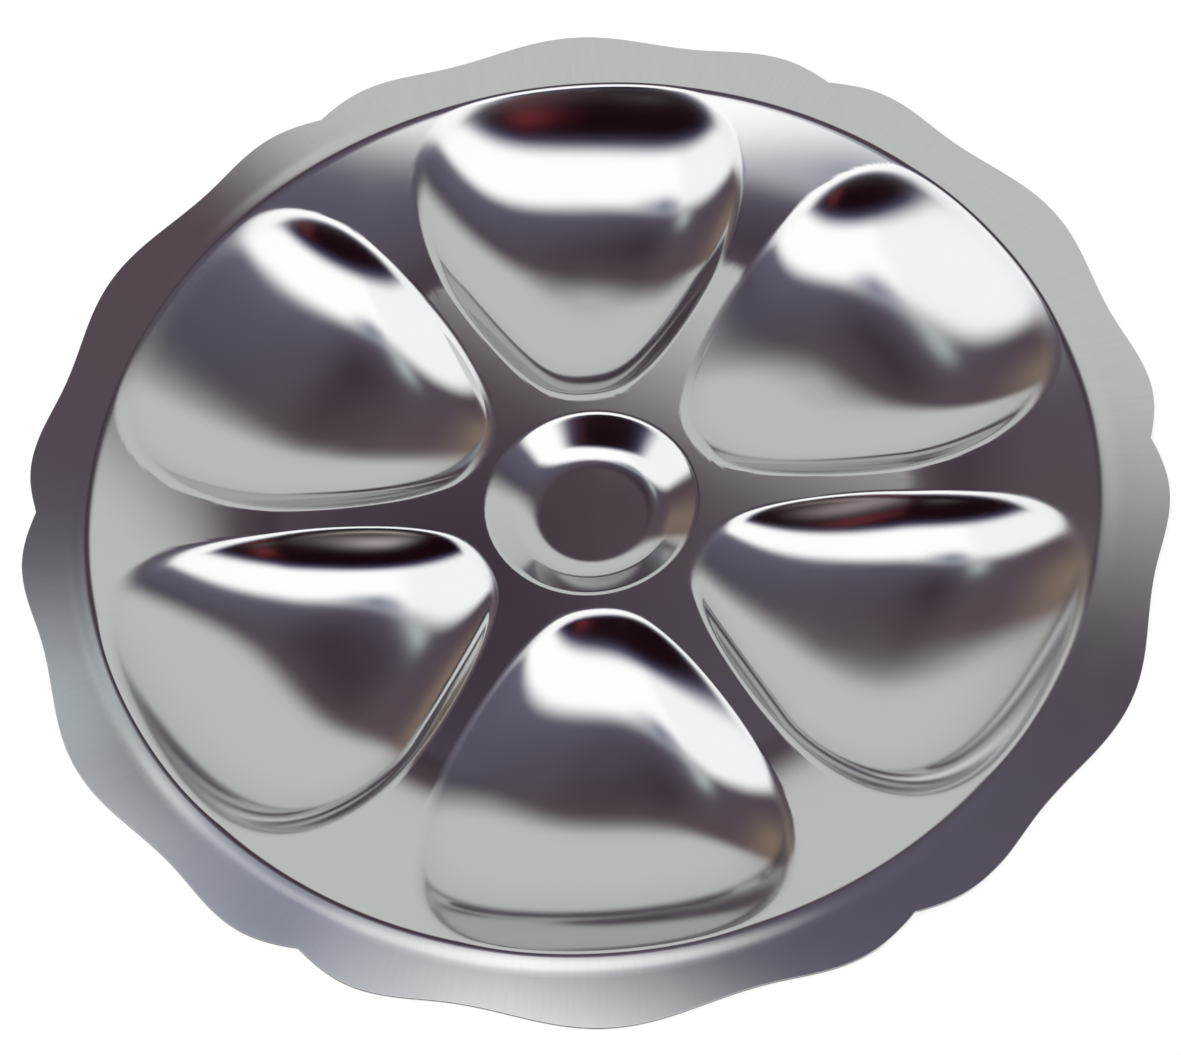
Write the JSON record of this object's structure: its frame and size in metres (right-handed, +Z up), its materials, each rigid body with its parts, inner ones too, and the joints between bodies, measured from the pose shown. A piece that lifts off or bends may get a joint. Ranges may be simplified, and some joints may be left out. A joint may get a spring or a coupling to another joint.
{
  "type": "oyster plate",
  "caption": "Round plate pressed from sheet steel, with egg-shaped wells for oysters round a sauce well, a raised crest and a rim that ends in large and small lobes.",
  "frame": {"origin": "middle of the plate, on the surface that it stands on", "axes": "+Z up out of the plate; one oyster well lies along +Y, called north, and the others follow at equal angles"},
  "size_m": [0.2464, 0.25, 0.02],
  "materials": {
    "steel": "polished stainless steel, mirror bright with faint wear"
  },
  "bodies": {
    "root": {"plate": "steel"}
  },
  "joints": []
}
